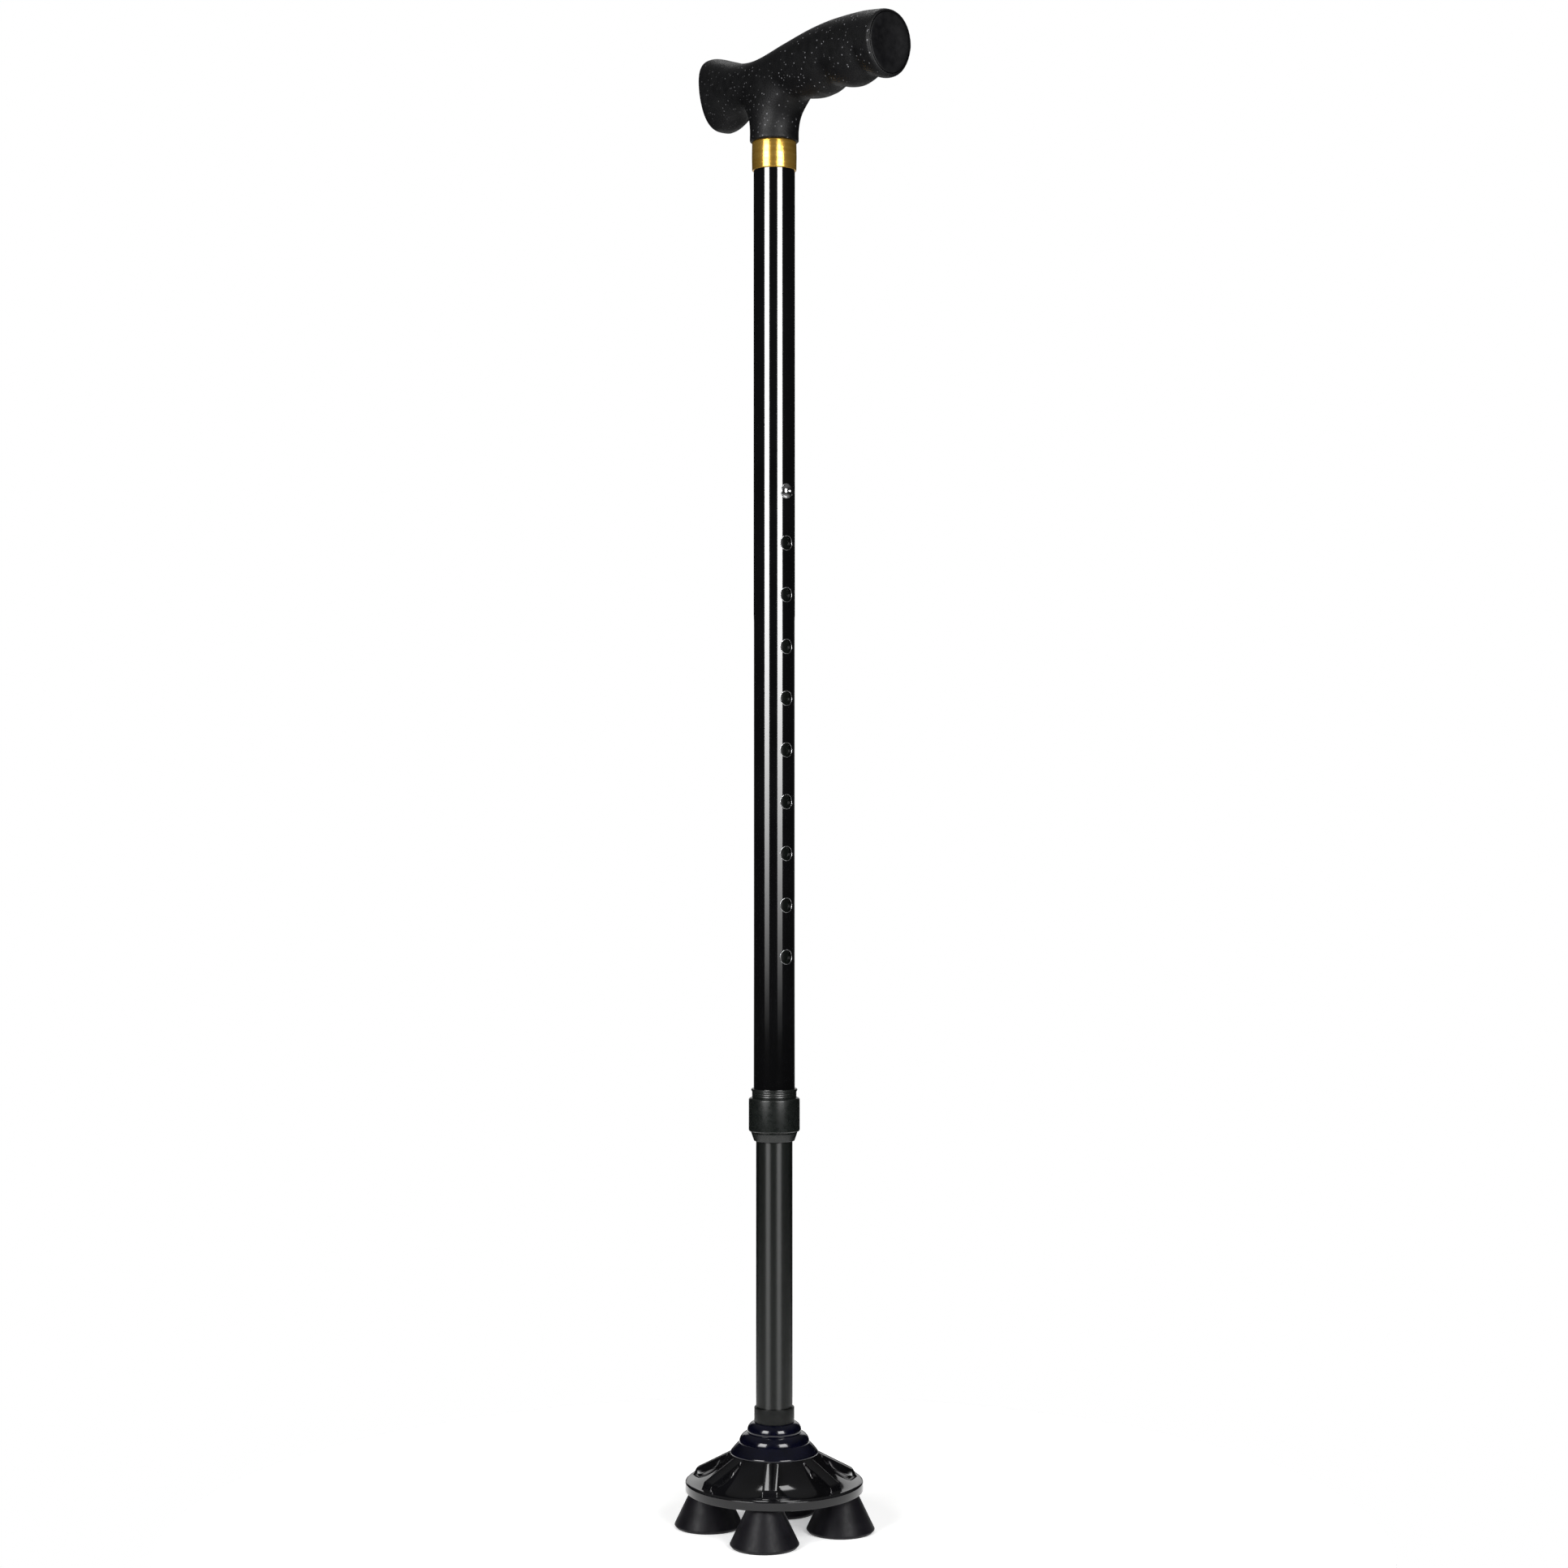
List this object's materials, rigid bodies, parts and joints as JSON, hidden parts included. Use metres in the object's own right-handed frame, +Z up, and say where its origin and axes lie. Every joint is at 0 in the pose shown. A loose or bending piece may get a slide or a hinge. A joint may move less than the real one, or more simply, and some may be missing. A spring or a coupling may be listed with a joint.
{
  "type": "quad walking cane",
  "caption": "Height-adjustable walking cane with an offset palm handle, telescoping push-button tube and a pivoting base on small rubber feet.",
  "frame": {"origin": "on the tube axis, in the plane that the feet stand on", "axes": "+Z up along the tube, +X forward, the way the handle's nose and the button point, +Y to the user's left"},
  "size_m": [0.1415, 0.0878, 0.7349],
  "materials": {
    "base_gloss": "polished black moulding",
    "zinc_steel": "zinc plated",
    "foot_rubber": "matte black rubber",
    "black_nylon": "satin black moulding",
    "white_nylon": "natural nylon",
    "bare_aluminium": "turned, bare",
    "sleeve_grey": "satin charcoal moulding",
    "boot_rubber": "glossy black rubber",
    "satin_lacquer": "satin charcoal anodised aluminium tube",
    "button_chrome": "bright chrome",
    "spring_steel": "blued spring strip",
    "gloss_lacquer": "gloss black lacquered aluminium tube",
    "nut_plastic": "satin black moulding",
    "collar_brass": "polished",
    "grip_black": "fine grained black moulding",
    "cap_black": "smooth satin black moulding"
  },
  "bodies": {
    "base": {"base_shell": "base_gloss", "base_plate": "zinc_steel", "front_left_foot": "foot_rubber", "rear_left_foot": "foot_rubber", "rear_right_foot": "foot_rubber", "front_right_foot": "foot_rubber", "foot_washers": "zinc_steel", "foot_screws": "zinc_steel", "ball_socket": "black_nylon", "retaining_ring": "black_nylon", "ring_screws": "zinc_steel", "rubber_boot": "boot_rubber"},
    "liner": {"pivot_liner": "white_nylon"},
    "stem": {"ball_stud": "zinc_steel", "jam_nut": "zinc_steel", "stem_plug": "bare_aluminium", "stem_pin": "zinc_steel", "neck_sleeve": "sleeve_grey", "lower_tube": "satin_lacquer", "guide_bush": "white_nylon", "button_spring": "spring_steel"},
    "button": {"snap_button": "button_chrome"},
    "upper": {"upper_tube": "gloss_lacquer", "lock_socket": "black_nylon", "brass_collar": "collar_brass", "handle_core": "bare_aluminium", "handle_pin": "zinc_steel", "handle_grip": "grip_black", "nose_cap": "cap_black"},
    "collet": {"collet_ring": "white_nylon"},
    "nut": {"lock_nut": "nut_plastic"}
  },
  "joints": [
    {"name": "tilt_fore_aft", "type": "hinge", "parent": "base", "child": "liner", "pos_m": [0, 0, 0.033], "axis": [0, 1, 0], "range_deg": [-10, 10], "stiffness_Nm_per_rad": 40, "deforming": ["rubber_boot"]},
    {"name": "tilt_sideways", "type": "hinge", "parent": "liner", "child": "stem", "pos_m": [0, 0, 0.033], "axis": [1, 0, 0], "range_deg": [-10, 10], "stiffness_Nm_per_rad": 40},
    {"name": "button_press", "type": "slide", "parent": "stem", "child": "button", "axis": [-1, 0, 0], "range_m": [0, 0.0034], "stiffness_N_per_m": 900, "springref_m": -0.002, "deforming": ["button_spring"]},
    {"name": "height_adjust", "type": "slide", "parent": "stem", "child": "upper", "axis": [0, 0, 1], "range_m": [0, 0.2286], "deforming": ["snap_button"]},
    {"name": "collet_travel", "type": "slide", "parent": "upper", "child": "collet", "axis": [0, 0, -1], "range_m": [0, 0.002]},
    {"name": "nut_turn", "type": "hinge", "parent": "collet", "child": "nut", "pos_m": [0, 0, 0.2045], "axis": [0, 0, -1], "range_deg": [0, 360]}
  ],
  "couplings": [
    {"joint": "collet_travel", "follows": "nut_turn", "m_per_rad": 0.00031831}
  ]
}
